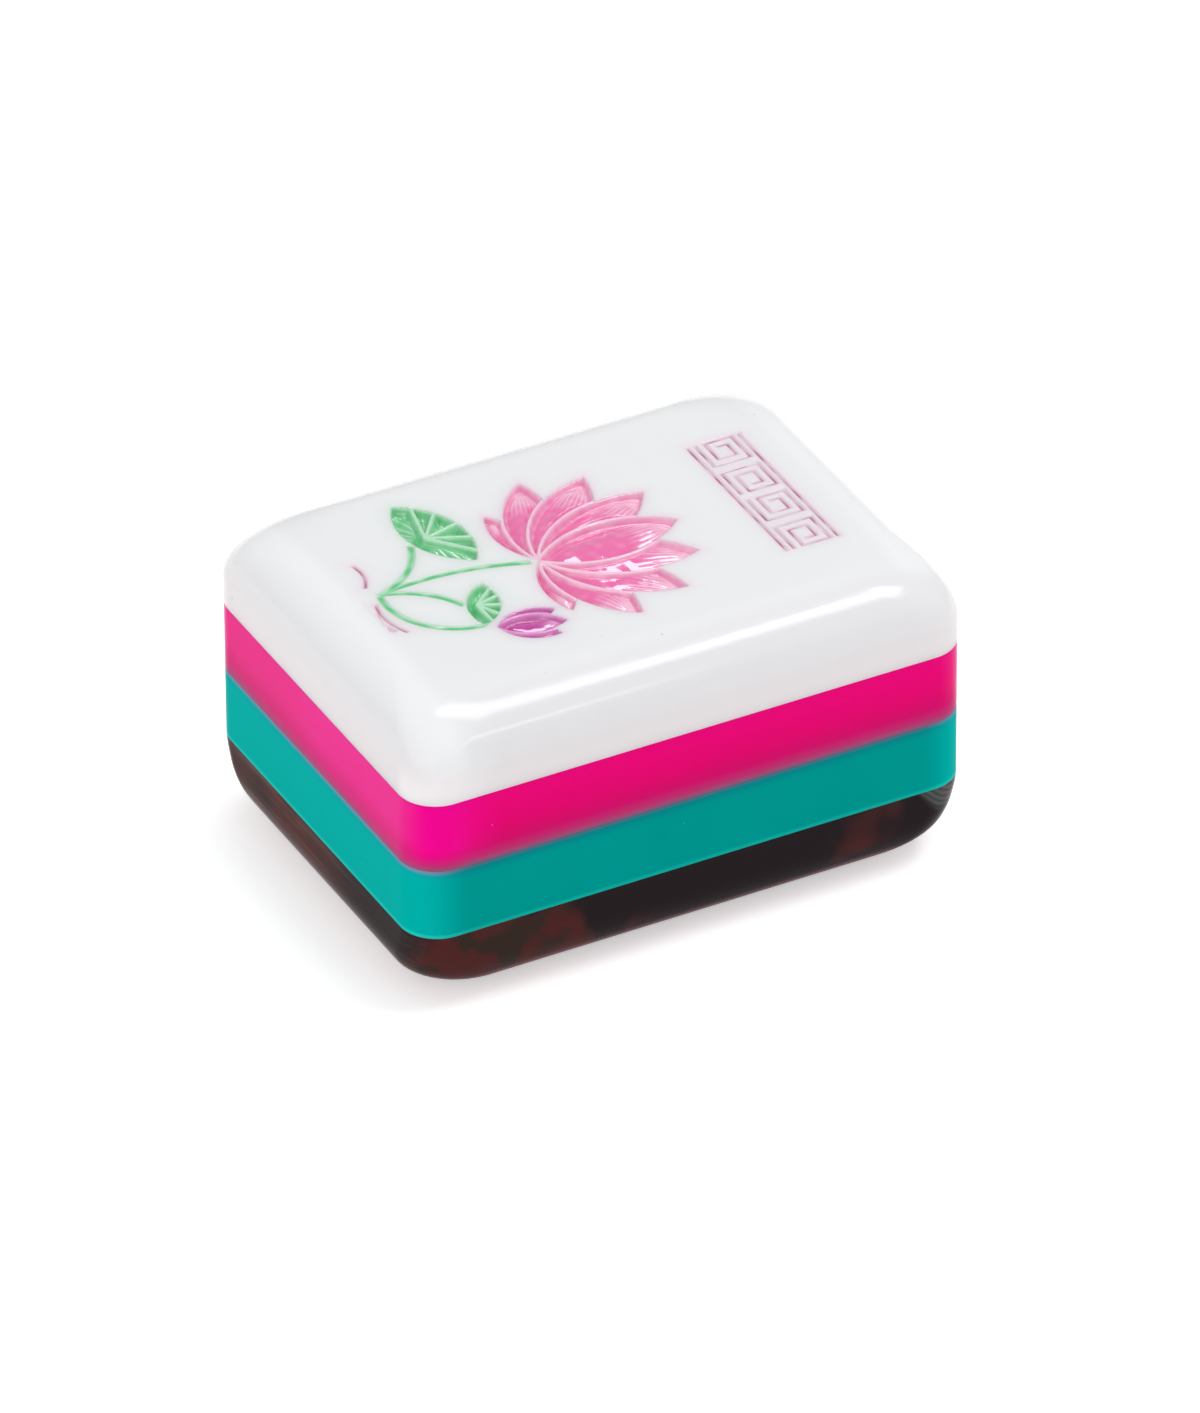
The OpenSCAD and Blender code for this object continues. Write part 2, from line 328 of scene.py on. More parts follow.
def fret_gap(x, y):
    """Gap to the square spirals and the two border lines."""
    gap = np.full_like(x, FAR_OFF)
    for i in range(FRET_COUNT):
        middle = (SPIRAL_W - FRET_L) / 2 + i * (SPIRAL_W + FRET_GAP)
        u = (x - middle) * (1 if i % 2 == 0 else -1) + SPIRAL_W / 2
        v = y - FRET_Y + SPIRAL_W / 2
        for start, run in FRET_STROKES:
            low = [a * FRET_PITCH for a in start]
            high = [(a + b) * FRET_PITCH + FRET_W for a, b in zip(start, run)]
            gap = np.minimum(gap, box_gap(u, v, low, high))
    for side in (-1, 1):
        middle = FRET_Y + side * (SPIRAL_W / 2 + FRET_MARGIN + FRET_W / 2)
        low, high = (-FRET_L / 2, middle - FRET_W / 2), (FRET_L / 2, middle + FRET_W / 2)
        gap = np.minimum(gap, box_gap(x, y, low, high))
    return gap


print("fret, mm:", round(FRET_L, 2), "long, its middle at", round(FRET_Y, 2))

# %% [markdown]
# ## Floors and films
#
# The carving is a low relief: a trench runs along every outline, and between trenches the
# floor swells up again, with fine veins on it. The polished face rolls over a little where
# the wall begins. Enamel follows the relief. It gathers in the trenches, where its colour is
# deep, and thins to a film over crests and ridges, where it looks pale. At its rim it dives
# under the white, so the edge that is seen is where two smooth surfaces meet.

# %% Heights of the carved white
POOL_DEPTH = 0.59
LINE_DEPTH = 0.3
FILM_DEPTH = 0.1
POOL_WALL_W = 0.07
LINE_WALL_W = 0.09
FILM_WALL_W = 0.05
LIP_R = 0.05
LIP_DROP = 0.02


def blossom_fan(x, y):
    """The fan of the blossom's petals."""
    return fan(
        x, y, BLOSSOM_FOOT, PETAL_L, PETAL_W, PETAL_TURNS, PETAL_LENGTH_SHARES, PETAL_WIDTH_SHARES
    )


def motifs(x, y):
    """Every motif as (pool gap, outline gap, swell, veins, combed parts), by name."""
    petals, *blossom = blossom_fan(x, y)
    scales, *bud = fan(x, y, BUD_FOOT, BUD_L, BUD_W, BUD_TURNS, BUD_SHARES, BUD_SHARES, BUD_LEAN)
    leaves = [leaf(x, y, i) for i in range(len(LEAF_PLACES))]
    nearer = leaves[0][1] < leaves[1][1]
    return {
        "blossom": (np.minimum.reduce(petals), *blossom),
        "bud": (np.minimum.reduce(scales), *bud),
        "leaf": tuple(np.where(nearer, a, b) for a, b in zip(*leaves)),
    }


def lip(gap):
    """How far the polished face rolls down at a gap outside a carved edge."""
    return LIP_DROP * np.exp(-np.maximum(gap, 0) / LIP_R)


def white_height(x, y):
    """Height of the carved white face over its flat, in millimetres, never above 0."""
    height = np.zeros_like(x)
    for pool, outline, *_ in motifs(x, y).values():
        floor = -FILM_DEPTH * ease(-outline / FILM_WALL_W) - POOL_DEPTH * ease(-pool / POOL_WALL_W)
        height = np.minimum(height, floor - lip(outline))
    for gap in (stem_gap(x, y), ripple_gap(x, y), fret_gap(x, y)):
        height = np.minimum(height, -LINE_DEPTH * ease(-gap / LINE_WALL_W) - lip(gap))
    return height


front_middle = BLOSSOM_FOOT + np.array([0, PETAL_L / 2])
carved = white_height(*(np.array([v]) for v in front_middle))
print("floor in the middle of the front petal, mm:", round(float(carved[0]), 2))

# %% [markdown]
# The enamel's surface is told in the same way, together with a number that says how thin its
# film is. A few crossing waves give it the slow unevenness of a pool that was filled by hand.

# %% Heights of the enamel
FILM_TOP = -0.03
TRENCH = -0.57
TRENCH_W = 0.1
SHORE_W = 0.3
VEIN_H = 0.045
WRINKLE_H = 0.012
FILM_W = 0.07
VEIN_FILM, COMBED_FILM, WRINKLE_FILM = 0.75, 0.18, 0.2
THREAD_SAG, THREAD_SHORE_W = 0.03, 0.1
DIVE_SLOPE = 1.5
WAVES = ((5.1, 2.2, 0.0), (-3.4, 6.3, 1.7), (8.2, -4.9, 0.6), (2.7, 9.6, 2.9))


def wrinkle(x, y):
    """Slow waves between -1 and 1, each with its turns along x and y and its start."""
    return sum(np.sin(a * x + b * y + start) for a, b, start in WAVES) / len(WAVES)


def pool_surface(x, y, pool, outline, swell, veins, combed, rise):
    """Height of the enamel in a pool, and how thin it is there, from 0 to 1."""
    inside = np.maximum(-pool, 0)
    trench = 1 - np.exp(-inside / TRENCH_W)
    away = ease(inside / SHORE_W)
    height = FILM_TOP + (TRENCH - FILM_TOP) * trench + rise * swell * away
    height += (VEIN_H * veins * combed + WRINKLE_H * wrinkle(x, y)) * away
    film = np.exp(-inside / FILM_W) + (VEIN_FILM * veins + COMBED_FILM) * combed * away
    return height - DIVE_SLOPE * np.maximum(outline, 0), film + WRINKLE_FILM * wrinkle(y, x)


def line_height(gap, sink):
    """Surface of a thread of enamel at the bottom of a groove."""
    return -sink - THREAD_SAG * ease(-gap / THREAD_SHORE_W) - DIVE_SLOPE * np.maximum(gap, 0)


print("enamel's depth in a trench, mm:", -TRENCH)

# %% [markdown]
# ## The rounded body
#
# A rounded block could be a cube with a bevel, but here the corner radius changes from level
# to level, which a bevel can't do. So each level is a rectangle of its own: one quad whose
# four corners are bevelled to that level's radius. Bridging the levels gives the skin, and
# the steps of the fillet set the levels' heights and insets.

# %% Rounded outlines, bridged into a body
CORNER_STEPS = 28
FILLET_STEPS = 28
GUARD = 0.04


def face_corner(z, inset):
    """Corner radius of the layers above the back."""
    return UPRIGHT_R + FACE_SPREAD * inset


def back_corner(z, inset):
    """Corner radius of the back, which also grows with the depth under the teal."""
    return UPRIGHT_R + math.hypot(BACK_SPREAD * inset, BACK_WEAR * ease((TEAL_Z - z) / BACK_WEAR_H))


def add_ring(bm, z, inset, corner_r):
    """One rounded rectangle at height z. Returns its edges."""
    half_x, half_y = TILE_W / 2 - inset, TILE_L / 2 - inset
    corners = bmesh.ops.create_grid(bm, x_segments=1, y_segments=1, size=1)["verts"]
    bmesh.ops.scale(bm, vec=(half_x, half_y, 1), verts=corners)
    bmesh.ops.translate(bm, vec=(0, 0, z), verts=corners)
    rounded = bmesh.ops.bevel(
        bm, geom=corners, affect="VERTICES", offset=corner_r,
        offset_type="OFFSET", segments=CORNER_STEPS, profile=0.5, material=-1,
    )
    sheet = rounded["verts"][0].link_faces[0]
    edges = list(sheet.edges)
    bmesh.ops.delete(bm, geom=[sheet], context="FACES_ONLY")
    return edges


def loft(bm, levels, corner_of):
    """Bridges rings at (height, inset) levels. Returns the first and the last ring."""
    rings = [add_ring(bm, z, inset, corner_of(z, inset)) for z, inset in levels]
    for lower, upper in zip(rings, rings[1:]):
        bmesh.ops.bridge_loops(bm, edges=lower + upper)
    return rings[0], rings[-1]


def close_joint(bm, rim):
    """Closes a bonded joint with a flat that meets the sides at a crisp edge."""
    bmesh.ops.contextual_create(bm, geom=rim)
    for edge in rim:
        edge.smooth = False


def fillet(radius, flat_z, way):
    """Levels of a fillet from the upright side to a flat at flat_z, way 1 up or -1 down."""
    levels = [(flat_z - way * (radius + GUARD), 0.0)]
    for step in range(FILLET_STEPS + 1):
        turn = math.radians(90 * step / FILLET_STEPS)
        levels.append((flat_z - way * radius * (1 - math.sin(turn)), radius * (1 - math.cos(turn))))
    return levels + [(flat_z, radius + GUARD)]


print("levels in the face's fillet:", len(fillet(FACE_R, TOP_Z, 1)))

# %% [markdown]
# Every piece ends in the same way: its faces point outwards, it is scaled to metres and shaded
# smooth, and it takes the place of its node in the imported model. On the back, the teal and the
# pink, normals weighted by area keep the flats flat to the eye, up to where the rounding begins.

# %% From a mesh to a piece
def finish_piece(name, bm, node):
    """Turns a bmesh in millimetres into a smooth object in metres that stands for a node."""
    bmesh.ops.recalc_face_normals(bm, faces=bm.faces)
    mesh = bpy.data.meshes.new(name)
    bm.to_mesh(mesh)
    bm.free()
    mesh.transform(Matrix.Scale(MM, 4))
    mesh.polygons.foreach_set("use_smooth", [True] * len(mesh.polygons))
    piece = bpy.data.objects.new(name, mesh)
    bpy.context.scene.collection.objects.link(piece)
    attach(piece, "root")
    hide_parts(node)
    print(name, "faces:", len(mesh.polygons))
    return piece


def flat_first(piece):
    """Gives the large flats their exact normals, so that their reflections stay straight."""
    weighted = piece.modifiers.new("weighted_normals", "WEIGHTED_NORMAL")
    weighted.mode = "FACE_AREA"
    weighted.keep_sharp = True
    return piece


print("from a mesh in mm to a piece in m, times", MM)

# %% [markdown]
# ## Back, teal and pink
#
# The back is the fillet turned upside down, closed by its flat. The teal and pink layers are
# upright slices of the same outline. Where two plastics are bonded and then polished, the
# joint is flush, so the slices meet face to face with no groove.

# %% Back and middle layers
WEAR_STEPS = 8

back_side = [(z, 0.0) for z in np.linspace(BACK_R + GUARD, TEAL_Z, WEAR_STEPS)[1:]]
back_bm = bmesh.new()
back_flat, back_joint = loft(back_bm, fillet(BACK_R, 0, -1)[::-1] + back_side, back_corner)
bmesh.ops.contextual_create(back_bm, geom=back_flat)
close_joint(back_bm, back_joint)
back = flat_first(finish_piece("back", back_bm, "back_layer"))

middle = {}
for name, node, low_z, high_z in (
    ("teal", "teal_layer", TEAL_Z, PINK_Z),
    ("pink", "pink_layer", PINK_Z, FACE_Z),
):
    slice_bm = bmesh.new()
    for rim in loft(slice_bm, [(low_z, 0), (high_z, 0)], face_corner):
        close_joint(slice_bm, rim)
    middle[name] = flat_first(finish_piece(name, slice_bm, node))

# %% [markdown]
# ## The carved face
#
# Its sides and fillet are lofted like the back's. Its flat needs a fine mesh for the carving,
# so a fine grid is laid in the opening, cells outside the rounded outline are deleted, and
# the strip between the grid and the ring is filled with triangles. Then every vertex of the
# flat is lowered to the carved height at its place.

# %% Fine grids
FACE_CELL = 0.07
GRID_MARGIN = 0.15
FLAT_TOLERANCE = 0.0005


def outline_gap(x, y, inset, spread):
    """Gap to the tile's outline at an inset."""
    corner = UPRIGHT_R + spread * inset
    qx = np.abs(x) - (TILE_W / 2 - inset - corner)
    qy = np.abs(y) - (TILE_L / 2 - inset - corner)
    inside = np.minimum(np.maximum(qx, qy), 0)
    return np.hypot(np.maximum(qx, 0), np.maximum(qy, 0)) + inside - corner


def fine_grid(bm, low, high, cell, z, keep):
    """A grid of square cells whose centres keep(x, y) accepts. Cells of all grids line up."""
    first = [math.floor(a / cell) for a in low]
    count = [math.ceil(b / cell) - a for a, b in zip(first, high)]
    made = bmesh.ops.create_grid(bm, x_segments=count[0], y_segments=count[1], size=1)["verts"]
    bmesh.ops.scale(bm, vec=(count[0] * cell / 2, count[1] * cell / 2, 1), verts=made)
    middle = [(a + n / 2) * cell for a, n in zip(first, count)]
    bmesh.ops.translate(bm, vec=(middle[0], middle[1], z), verts=made)
    cells = list({face for vert in made for face in vert.link_faces})
    cells.sort(key=lambda face: face.index)
    centres = np.array([face.calc_center_median()[:2] for face in cells])
    kept = keep(centres[:, 0], centres[:, 1])
    bmesh.ops.delete(bm, geom=[face for face, k in zip(cells, kept) if not k], context="FACES")
    pinched = True
    while pinched:
        pinched = [v for v in bm.verts if sum(edge.is_boundary for edge in v.link_edges) > 2]
        loose = list({v.link_faces[0] for v in pinched})
        bmesh.ops.delete(bm, geom=loose, context="FACES")


def points_of(mesh):
    """All vertices of a mesh, in millimetres."""
    co = np.empty(len(mesh.vertices) * 3, np.float32)
    mesh.vertices.foreach_get("co", co)
    return co.reshape(-1, 3).astype(float) / MM


def move_points(mesh, co):
    mesh.vertices.foreach_set("co", (co * MM).astype(np.float32).ravel())
    mesh.update()


def store_on_points(mesh, name, values):
    """Keeps one number for each vertex, for a material to read."""
    attribute = mesh.attributes.new(name, "FLOAT", "POINT")
    attribute.data.foreach_set("value", values.astype(np.float32))


print("cells across the face:", round(2 * FLAT_X / FACE_CELL))

# %% Face with its carving
face_bm = bmesh.new()
fine_grid(
    face_bm, (-FLAT_X, -FLAT_Y), (FLAT_X, FLAT_Y), FACE_CELL, TOP_Z,
    lambda x, y: outline_gap(x, y, FACE_R + GUARD + GRID_MARGIN, FACE_SPREAD) < 0,
)
grid_rim = [edge for edge in face_bm.edges if edge.is_boundary]
face_joint, face_rim = loft(face_bm, [(FACE_Z, 0)] + fillet(FACE_R, TOP_Z, 1), face_corner)
close_joint(face_bm, face_joint)
bmesh.ops.triangle_fill(face_bm, use_beauty=True, use_dissolve=False, edges=grid_rim + face_rim)
face_piece = finish_piece("face", face_bm, "face_layer")
face_co = points_of(face_piece.data)
on_flat = face_co[:, 2] > TOP_Z - FLAT_TOLERANCE
face_co[on_flat, 2] += white_height(face_co[on_flat, 0], face_co[on_flat, 1])
move_points(face_piece.data, face_co)
print("deepest carving, mm:", round(float(TOP_Z - face_co[on_flat, 2].min()), 2))

# %% [markdown]
# Plastic lets a little light through, so the colour of an enamel spreads into the white around
# it as a faint halo. That glow is painted: each point of the face stores how near it is to each
# colour, and the white's material reads that.

# %% Painted halo beside the enamel
HALO_W = 0.22
STEM_HALO_LOSS = 0.1
face_x, face_y = face_co[:, 0], face_co[:, 1]
halo_shapes = motifs(face_x, face_y)
halo_gaps = {
    "halo_pink": halo_shapes["blossom"][1],
    "halo_magenta": halo_shapes["bud"][1],
    "halo_green": np.minimum(halo_shapes["leaf"][1], stem_gap(face_x, face_y) + STEM_HALO_LOSS),
    "halo_mauve": np.minimum(ripple_gap(face_x, face_y), fret_gap(face_x, face_y)),
}
for name, gap in halo_gaps.items():
    halo = np.where(on_flat, np.exp(-np.maximum(gap, 0) / HALO_W), 0)
    store_on_points(face_piece.data, name, halo)
    print(name, "reaches vertices:", int((halo > 0.1).sum()))

# %% [markdown]
# ## Enamel
#
# Each enamel piece is a patch of grid over its own motif, made solid, with its top moved to
# the enamel's surface and its underside to the carved floor. A point attribute keeps how thin
# the film is: nearly 1 on ridges, veins and rims, and 0 in the middle of a pool.

# %% How a piece of enamel is made
ENAMEL_CELL = 0.04
SKIRT = 0.1
THREAD_SKIRT = 0.06
ABOVE_FLOOR = 0.01
THINNEST = 0.04
SHARP_TURN = 1.0


def enamel(name, node, owned, surface):
    """A solid fill over the cells that owned(x, y) accepts. surface gives height and film."""
    low, high = (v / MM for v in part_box(node))
    pad = RIDGE_W + 3 * SKIRT
    bm = bmesh.new()
    fine_grid(bm, (low.x - pad, low.y - pad), (high.x + pad, high.y + pad), ENAMEL_CELL, TOP_Z, owned)
    bmesh.ops.solidify(bm, geom=bm.faces[:], thickness=1.0)
    for edge in bm.edges:
        edge.smooth = edge.calc_face_angle() < SHARP_TURN
    piece = finish_piece(name, bm, node)
    co = points_of(piece.data)
    middle_z = (co[:, 2].min() + co[:, 2].max()) / 2
    is_top = co[:, 2] > middle_z
    height, film = surface(co[:, 0], co[:, 1])
    floor = white_height(co[:, 0], co[:, 1]) + ABOVE_FLOOR
    co[:, 2] = TOP_Z + np.where(is_top, height, np.minimum(floor, height - THINNEST))
    move_points(piece.data, co)
    store_on_points(piece.data, "film", np.clip(film, 0, 1))
    return piece


pieces = {}
print("cells in a millimetre of enamel:", round(1 / ENAMEL_CELL))

# %% [markdown]
# The blossom has four pieces, one for each depth of its fan. They meet along the ridges, so
# each cell of the grid belongs to the petal whose pool is nearest.

# %% Enamel of the blossom
BLOSSOM_RISE = 0.46


def petals_enamel(name, node, numbers):
    """The enamel of some petals, given by their numbers in the fan."""
    def owned(x, y):
        pools, outline, *_ = blossom_fan(x, y)
        return np.isin(np.argmin(np.array(pools), axis=0), numbers) & (outline < SKIRT)

    def surface(x, y):
        return pool_surface(x, y, *motifs(x, y)["blossom"], rise=BLOSSOM_RISE)

    return enamel(name, node, owned, surface)


for name, node, numbers in (
    ("front_petal", "front_petal_enamel", (0,)),
    ("inner_petals", "inner_petal_enamel", (1, 2)),
    ("middle_petals", "middle_petal_enamel", (3, 4)),
    ("outer_petals", "outer_petal_enamel", (5, 6, 7, 8)),
):
    pieces[name] = petals_enamel(name, node, numbers)

# %% [markdown]
# The bud is one piece, and the two leaves together are another. A fine line holds a thread of
# enamel in its groove, a little below the white, and its film is thin in places, where it pales.

# %% Enamel of the bud, the leaves and the lines
BUD_RISE = LEAF_RISE = 0.42
STEM_SINK, RIPPLE_SINK, FRET_SINK = 0.07, 0.09, 0.1
THREAD_FILM_W, THREAD_FILM, THREAD_WRINKLE = 0.12, 0.1, 0.9
SLOWER = 0.6


def motif_piece(name, node, motif, rise):
    """The enamel of a motif that is one piece."""
    def owned(x, y):
        return motifs(x, y)[motif][1] < SKIRT

    def surface(x, y):
        return pool_surface(x, y, *motifs(x, y)[motif], rise)

    return enamel(name, node, owned, surface)


def line_piece(name, node, gap_of, sink):
    """The enamel of fine lines."""
    def surface(x, y):
        gap = gap_of(x, y)
        film = 1 - ease(-gap / THREAD_FILM_W) + THREAD_FILM
        return line_height(gap, sink), film + THREAD_WRINKLE * wrinkle(SLOWER * x, SLOWER * y)

    return enamel(name, node, lambda x, y: gap_of(x, y) < THREAD_SKIRT, surface)


pieces["bud"] = motif_piece("bud", "bud_enamel", "bud", BUD_RISE)
pieces["leaves"] = motif_piece("leaves", "leaf_enamel", "leaf", LEAF_RISE)
pieces["stems"] = line_piece("stems", "stem_enamel", stem_gap, STEM_SINK)
pieces["ripples"] = line_piece("ripples", "ripple_enamel", ripple_gap, RIPPLE_SINK)
pieces["fret"] = line_piece("fret", "fret_enamel", fret_gap, FRET_SINK)

# %% [markdown]
# ## Finishes
#
# All the plastics share one trait: they are tumbled until they shine, so each has a low
# roughness and a very slight waviness. Their refractive indices are at or below acrylic's
# 1.49, lowest on the coloured layers. What sets them apart is how far light travels inside
# them. Colours are written as hex values, as they are seen, and one function turns them to
# the linear values that a shader needs.

# %% Colours and nodes
def linear(hex_code):
    """A hex colour as linear red, green, blue and an alpha of 1."""
    values = [int(hex_code[i:i + 2], 16) / 255 for i in (1, 3, 5)]
    return [v / 12.92 if v <= 0.04045 else ((v + 0.055) / 1.055) ** 2.4 for v in values] + [1.0]


def add_node(tree, kind, settings=None, **inputs):
    """Adds a node. settings fill attributes or inputs by name. The inputs after them, of which i0
    is the first by number, each take a socket, a number or a hex colour."""
    node = tree.nodes.new(kind)
    for key, value in (settings or {}).items():
        if hasattr(node, key):
            setattr(node, key, value)
        else:
            node.inputs[key].default_value = value
    for key, value in inputs.items():
        socket = node.inputs[int(key[1:]) if key[1:].isdigit() else key.replace("_", " ")]
        if isinstance(value, bpy.types.NodeSocket):
            tree.links.new(value, socket)
        else:
            socket.default_value = linear(value) if isinstance(value, str) else value
    return node


def new_material(name, finish):
    """A material with its tree, its Principled shader of that finish and its object coordinates."""
    material = bpy.data.materials.new(name)
    material.use_nodes = True
    tree = material.node_tree
    tree.nodes.clear()
    shader = add_node(tree, "ShaderNodeBsdfPrincipled", finish)
    add_node(tree, "ShaderNodeOutputMaterial", Surface=shader.outputs["BSDF"])
    place = add_node(tree, "ShaderNodeTexCoord")
    return material, tree, shader, place.outputs["Object"]


print("paper white, linear:", [round(v, 3) for v in linear("#FAFAFA")[:3]])

# %% [markdown]
# Most of the colours change with the place on the tile: near a joint, at an end, on a rounded
# edge. Each such place is a share between 0 and 1 that is worked out from the object's own
# coordinates, so the pattern stays with the tile when it moves.

# %% Places on the tile
def height_share(tree, place, from_mm, to_mm):
    """0 at from_mm above the table and 1 at to_mm."""
    split = add_node(tree, "ShaderNodeSeparateXYZ", Vector=place)
    share = add_node(
        tree, "ShaderNodeMapRange", {"From Min": from_mm * MM, "From Max": to_mm * MM},
        Value=split.outputs["Z"],
    )
    return share.outputs["Result"]


def along_share(tree, place, axis, from_mm, to_mm, both_ways=False):
    """0 before from_mm on an axis and 1 past to_mm, measured both ways from the middle if asked."""
    way = add_node(tree, "ShaderNodeSeparateXYZ", Vector=place).outputs[axis]
    if both_ways:
        way = add_node(tree, "ShaderNodeMath", {"operation": "ABSOLUTE"}, i0=way).outputs[0]
    share = add_node(
        tree, "ShaderNodeMapRange",
        {"interpolation_type": "SMOOTHSTEP", "From Min": from_mm * MM, "From Max": to_mm * MM},
        Value=way,
    )
    return share.outputs["Result"]


def end_share(tree, place, from_mm, to_mm):
    """0 farther in from both ends than from_mm and 1 nearer to them than to_mm."""
    return along_share(tree, place, "Y", TILE_L / 2 - from_mm, TILE_L / 2 - to_mm, both_ways=True)


def side_share(tree, place, from_mm, to_mm):
    """The same for the two long sides."""
    return along_share(tree, place, "X", TILE_W / 2 - from_mm, TILE_W / 2 - to_mm, both_ways=True)


def painted_glow_edges(tree, place, inset_mm):
    """Three shares whose product places the painted glow: 1 on the rounded upright edges, and less at
    the far end.
    """
    return (
        end_share(tree, place, 5.0, 0.5), side_share(tree, place, inset_mm, inset_mm - 1.1),
        along_share(tree, place, "Y", TILE_L / 2, -TILE_L / 3),
    )


print("length and width for the shares, mm:", round(TILE_L, 2), round(TILE_W, 2))

# %% [markdown]
# A finish is then laid in coats, each a tint with the shares that say where it goes. Two coats
# are easily forgotten: the few dust specks and the faint waviness that polishing leaves. A
# surface without them looks drawn.

# %% Coats, specks and waviness
POLISH_GRAIN_MM, POLISH_WAVE_MM = 2.5, 0.004


def lay(tree, colour, tint, *shares):
    """A colour with a tint laid over it, as strong as the product of its shares."""
    strength = shares[0]
    for share in shares[1:]:
        product = add_node(tree, "ShaderNodeMath", {"operation": "MULTIPLY"}, i0=strength, i1=share)
        strength = product.outputs[0]
    mix = add_node(tree, "ShaderNodeMix", {"data_type": "RGBA"}, i0=strength, i6=colour, i7=tint)
    return mix.outputs[2]


def specks(tree, place, spacing_mm, radius_mm):
    """1 inside the few specks that lie just where the plastic was cut, 0 elsewhere."""
    cells = add_node(tree, "ShaderNodeTexVoronoi", {"Scale": 1 / (spacing_mm * MM)}, Vector=place)
    edge = radius_mm / spacing_mm
    near = add_node(
        tree, "ShaderNodeMapRange", {"From Min": edge, "From Max": 0.4 * edge},
        Value=cells.outputs["Distance"],
    )
    return near.outputs["Result"]


def wave_bump(tree, shader, place, grain_mm=POLISH_GRAIN_MM, height_mm=POLISH_WAVE_MM):
    """A faint waviness of the surface and of its gloss coat, as a bump of a real size."""
    noise = add_node(
        tree, "ShaderNodeTexNoise", {"Scale": 1 / (grain_mm * MM), "Detail": 1.5}, Vector=place
    )
    bump = add_node(
        tree, "ShaderNodeBump", {"Strength": 0.6, "Distance": height_mm * MM},
        Height=noise.outputs["Fac"],
    )
    for name in ("Normal", "Coat Normal"):
        tree.links.new(bump.outputs["Normal"], shader.inputs[name])


def dress(piece, material):
    """Gives a piece its one material."""
    piece.data.materials.append(material)
    print(piece.name, "is", material.name, "of", len(material.node_tree.nodes), "nodes")


print("waves of a polished face, mm:", POLISH_GRAIN_MM, "wide and", POLISH_WAVE_MM, "high")

# %% [markdown]
# The white is a milky cast plastic. A little subsurface light softens its corners, and its
# colour is a hair cooler than paper. Painted light and shade are laid over that: the halos are a
# painted glow of each enamel beside it, just above the pink layer a painted glow gives a breath
# of pink, a painted shade makes the long rounded edges a hair greyer than the flat, a painted
# light makes the end ones a hair lighter, a warm painted shade lies low on the ends, and a
# painted glow lights the rounded upright edges, as light gathers in any plastic that it can
# enter. A few dust specks lie where the sheet was cut.

# %% White plastic
white, tree, shader, place = new_material("milky_white_acrylic", {
    "Roughness": 0.13, "IOR": 1.45, "Subsurface Weight": 0.35,
    "Subsurface Radius": (1.0, 0.95, 0.9), "Subsurface Scale": 1.2 * MM,
})
colour = "#E9EBEC"
# painted glow: each enamel's colour tints the white beside it, read from the halo attributes
for name, tint, strength in (
    ("halo_pink", "#F7B4D6", 0.42),
    ("halo_magenta", "#E9A6DE", 0.4),
    ("halo_green", "#AEE3BE", 0.4),
    ("halo_mauve", "#F2CFE2", 0.5),
):
    halo = add_node(tree, "ShaderNodeAttribute", {"attribute_name": name})
    colour = lay(tree, colour, tint, halo.outputs["Fac"], strength)
# painted light: the end fillets a hair lighter
painted_light_end_fillet = along_share(tree, place, "Y", FLAT_Y - 0.2, FLAT_Y + 0.8, both_ways=True)
colour = lay(tree, colour, "#EFF0F2", painted_light_end_fillet)
# painted shade: the long fillets a hair greyer, away from the near end
painted_shade_long_fillet = along_share(tree, place, "X", FLAT_X + 0.2, FLAT_X + 1.6, both_ways=True)
past_near_end = along_share(tree, place, "Y", 2.0 - TILE_L / 2, 5.0 - TILE_L / 2)
colour = lay(tree, colour, "#E6E5E7", painted_shade_long_fillet, past_near_end)
# painted glow: a breath of pink from the pink layer, low on the white
low = height_share(tree, place, FACE_Z + 2.2, FACE_Z + 0.4)
colour = lay(tree, colour, "#EFE7E9", low, 0.85)
# painted shade, warm, low on the ends
painted_shade_end_low = height_share(tree, place, FACE_Z + 3.4, FACE_Z + 0.4)
colour = lay(tree, colour, "#ECE5E7", end_share(tree, place, 1.2, 0.2), painted_shade_end_low)
# painted glow on the rounded upright edges
colour = lay(tree, colour, "#FCF7F9", *painted_glow_edges(tree, place, 2.4), low)
colour = lay(tree, colour, "#A8A2A4", specks(tree, place, 2.6, 0.08), 0.45)
tree.links.new(colour, shader.inputs["Base Color"])
wave_bump(tree, shader, place, grain_mm=2.2)
dress(face_piece, white)

# %% [markdown]
# The pink is clear plastic over opaque teal. Seen from the side, its upper part glows pink
# and its lowest millimetre shows the teal through it, so the joint looks soft while the joint
# above, against opaque white, looks sharp. A clear volume would show that too, but slowly and
# with noise, so the blend is painted by height, and so is the hot glow of the upright edges,
# where light that entered elsewhere comes out. A painted light also makes the end faces a
# lighter pink, most of all on their right part.

# %% Clear pink plastic
pink, tree, shader, place = new_material("clear_pink_acrylic", {
    "Roughness": 0.07, "IOR": 1.1, "Subsurface Weight": 0.25,
    "Subsurface Radius": (1.0, 0.15, 0.5), "Subsurface Scale": 0.8 * MM,
})
ramp = add_node(tree, "ShaderNodeValToRGB", Fac=height_share(tree, place, PINK_Z, FACE_Z))
STOPS = (
    (0.0, "#965A7C"), (0.09, "#C42F72"), (0.22, "#D8086D"), (0.45, "#E90072"), (1.0, "#F6007E"),
)
for i, (at, hex_code) in enumerate(STOPS):
    stop = ramp.color_ramp.elements[i] if i < 2 else ramp.color_ramp.elements.new(at)
    stop.position, stop.color = at, linear(hex_code)
colour = ramp.outputs["Color"]
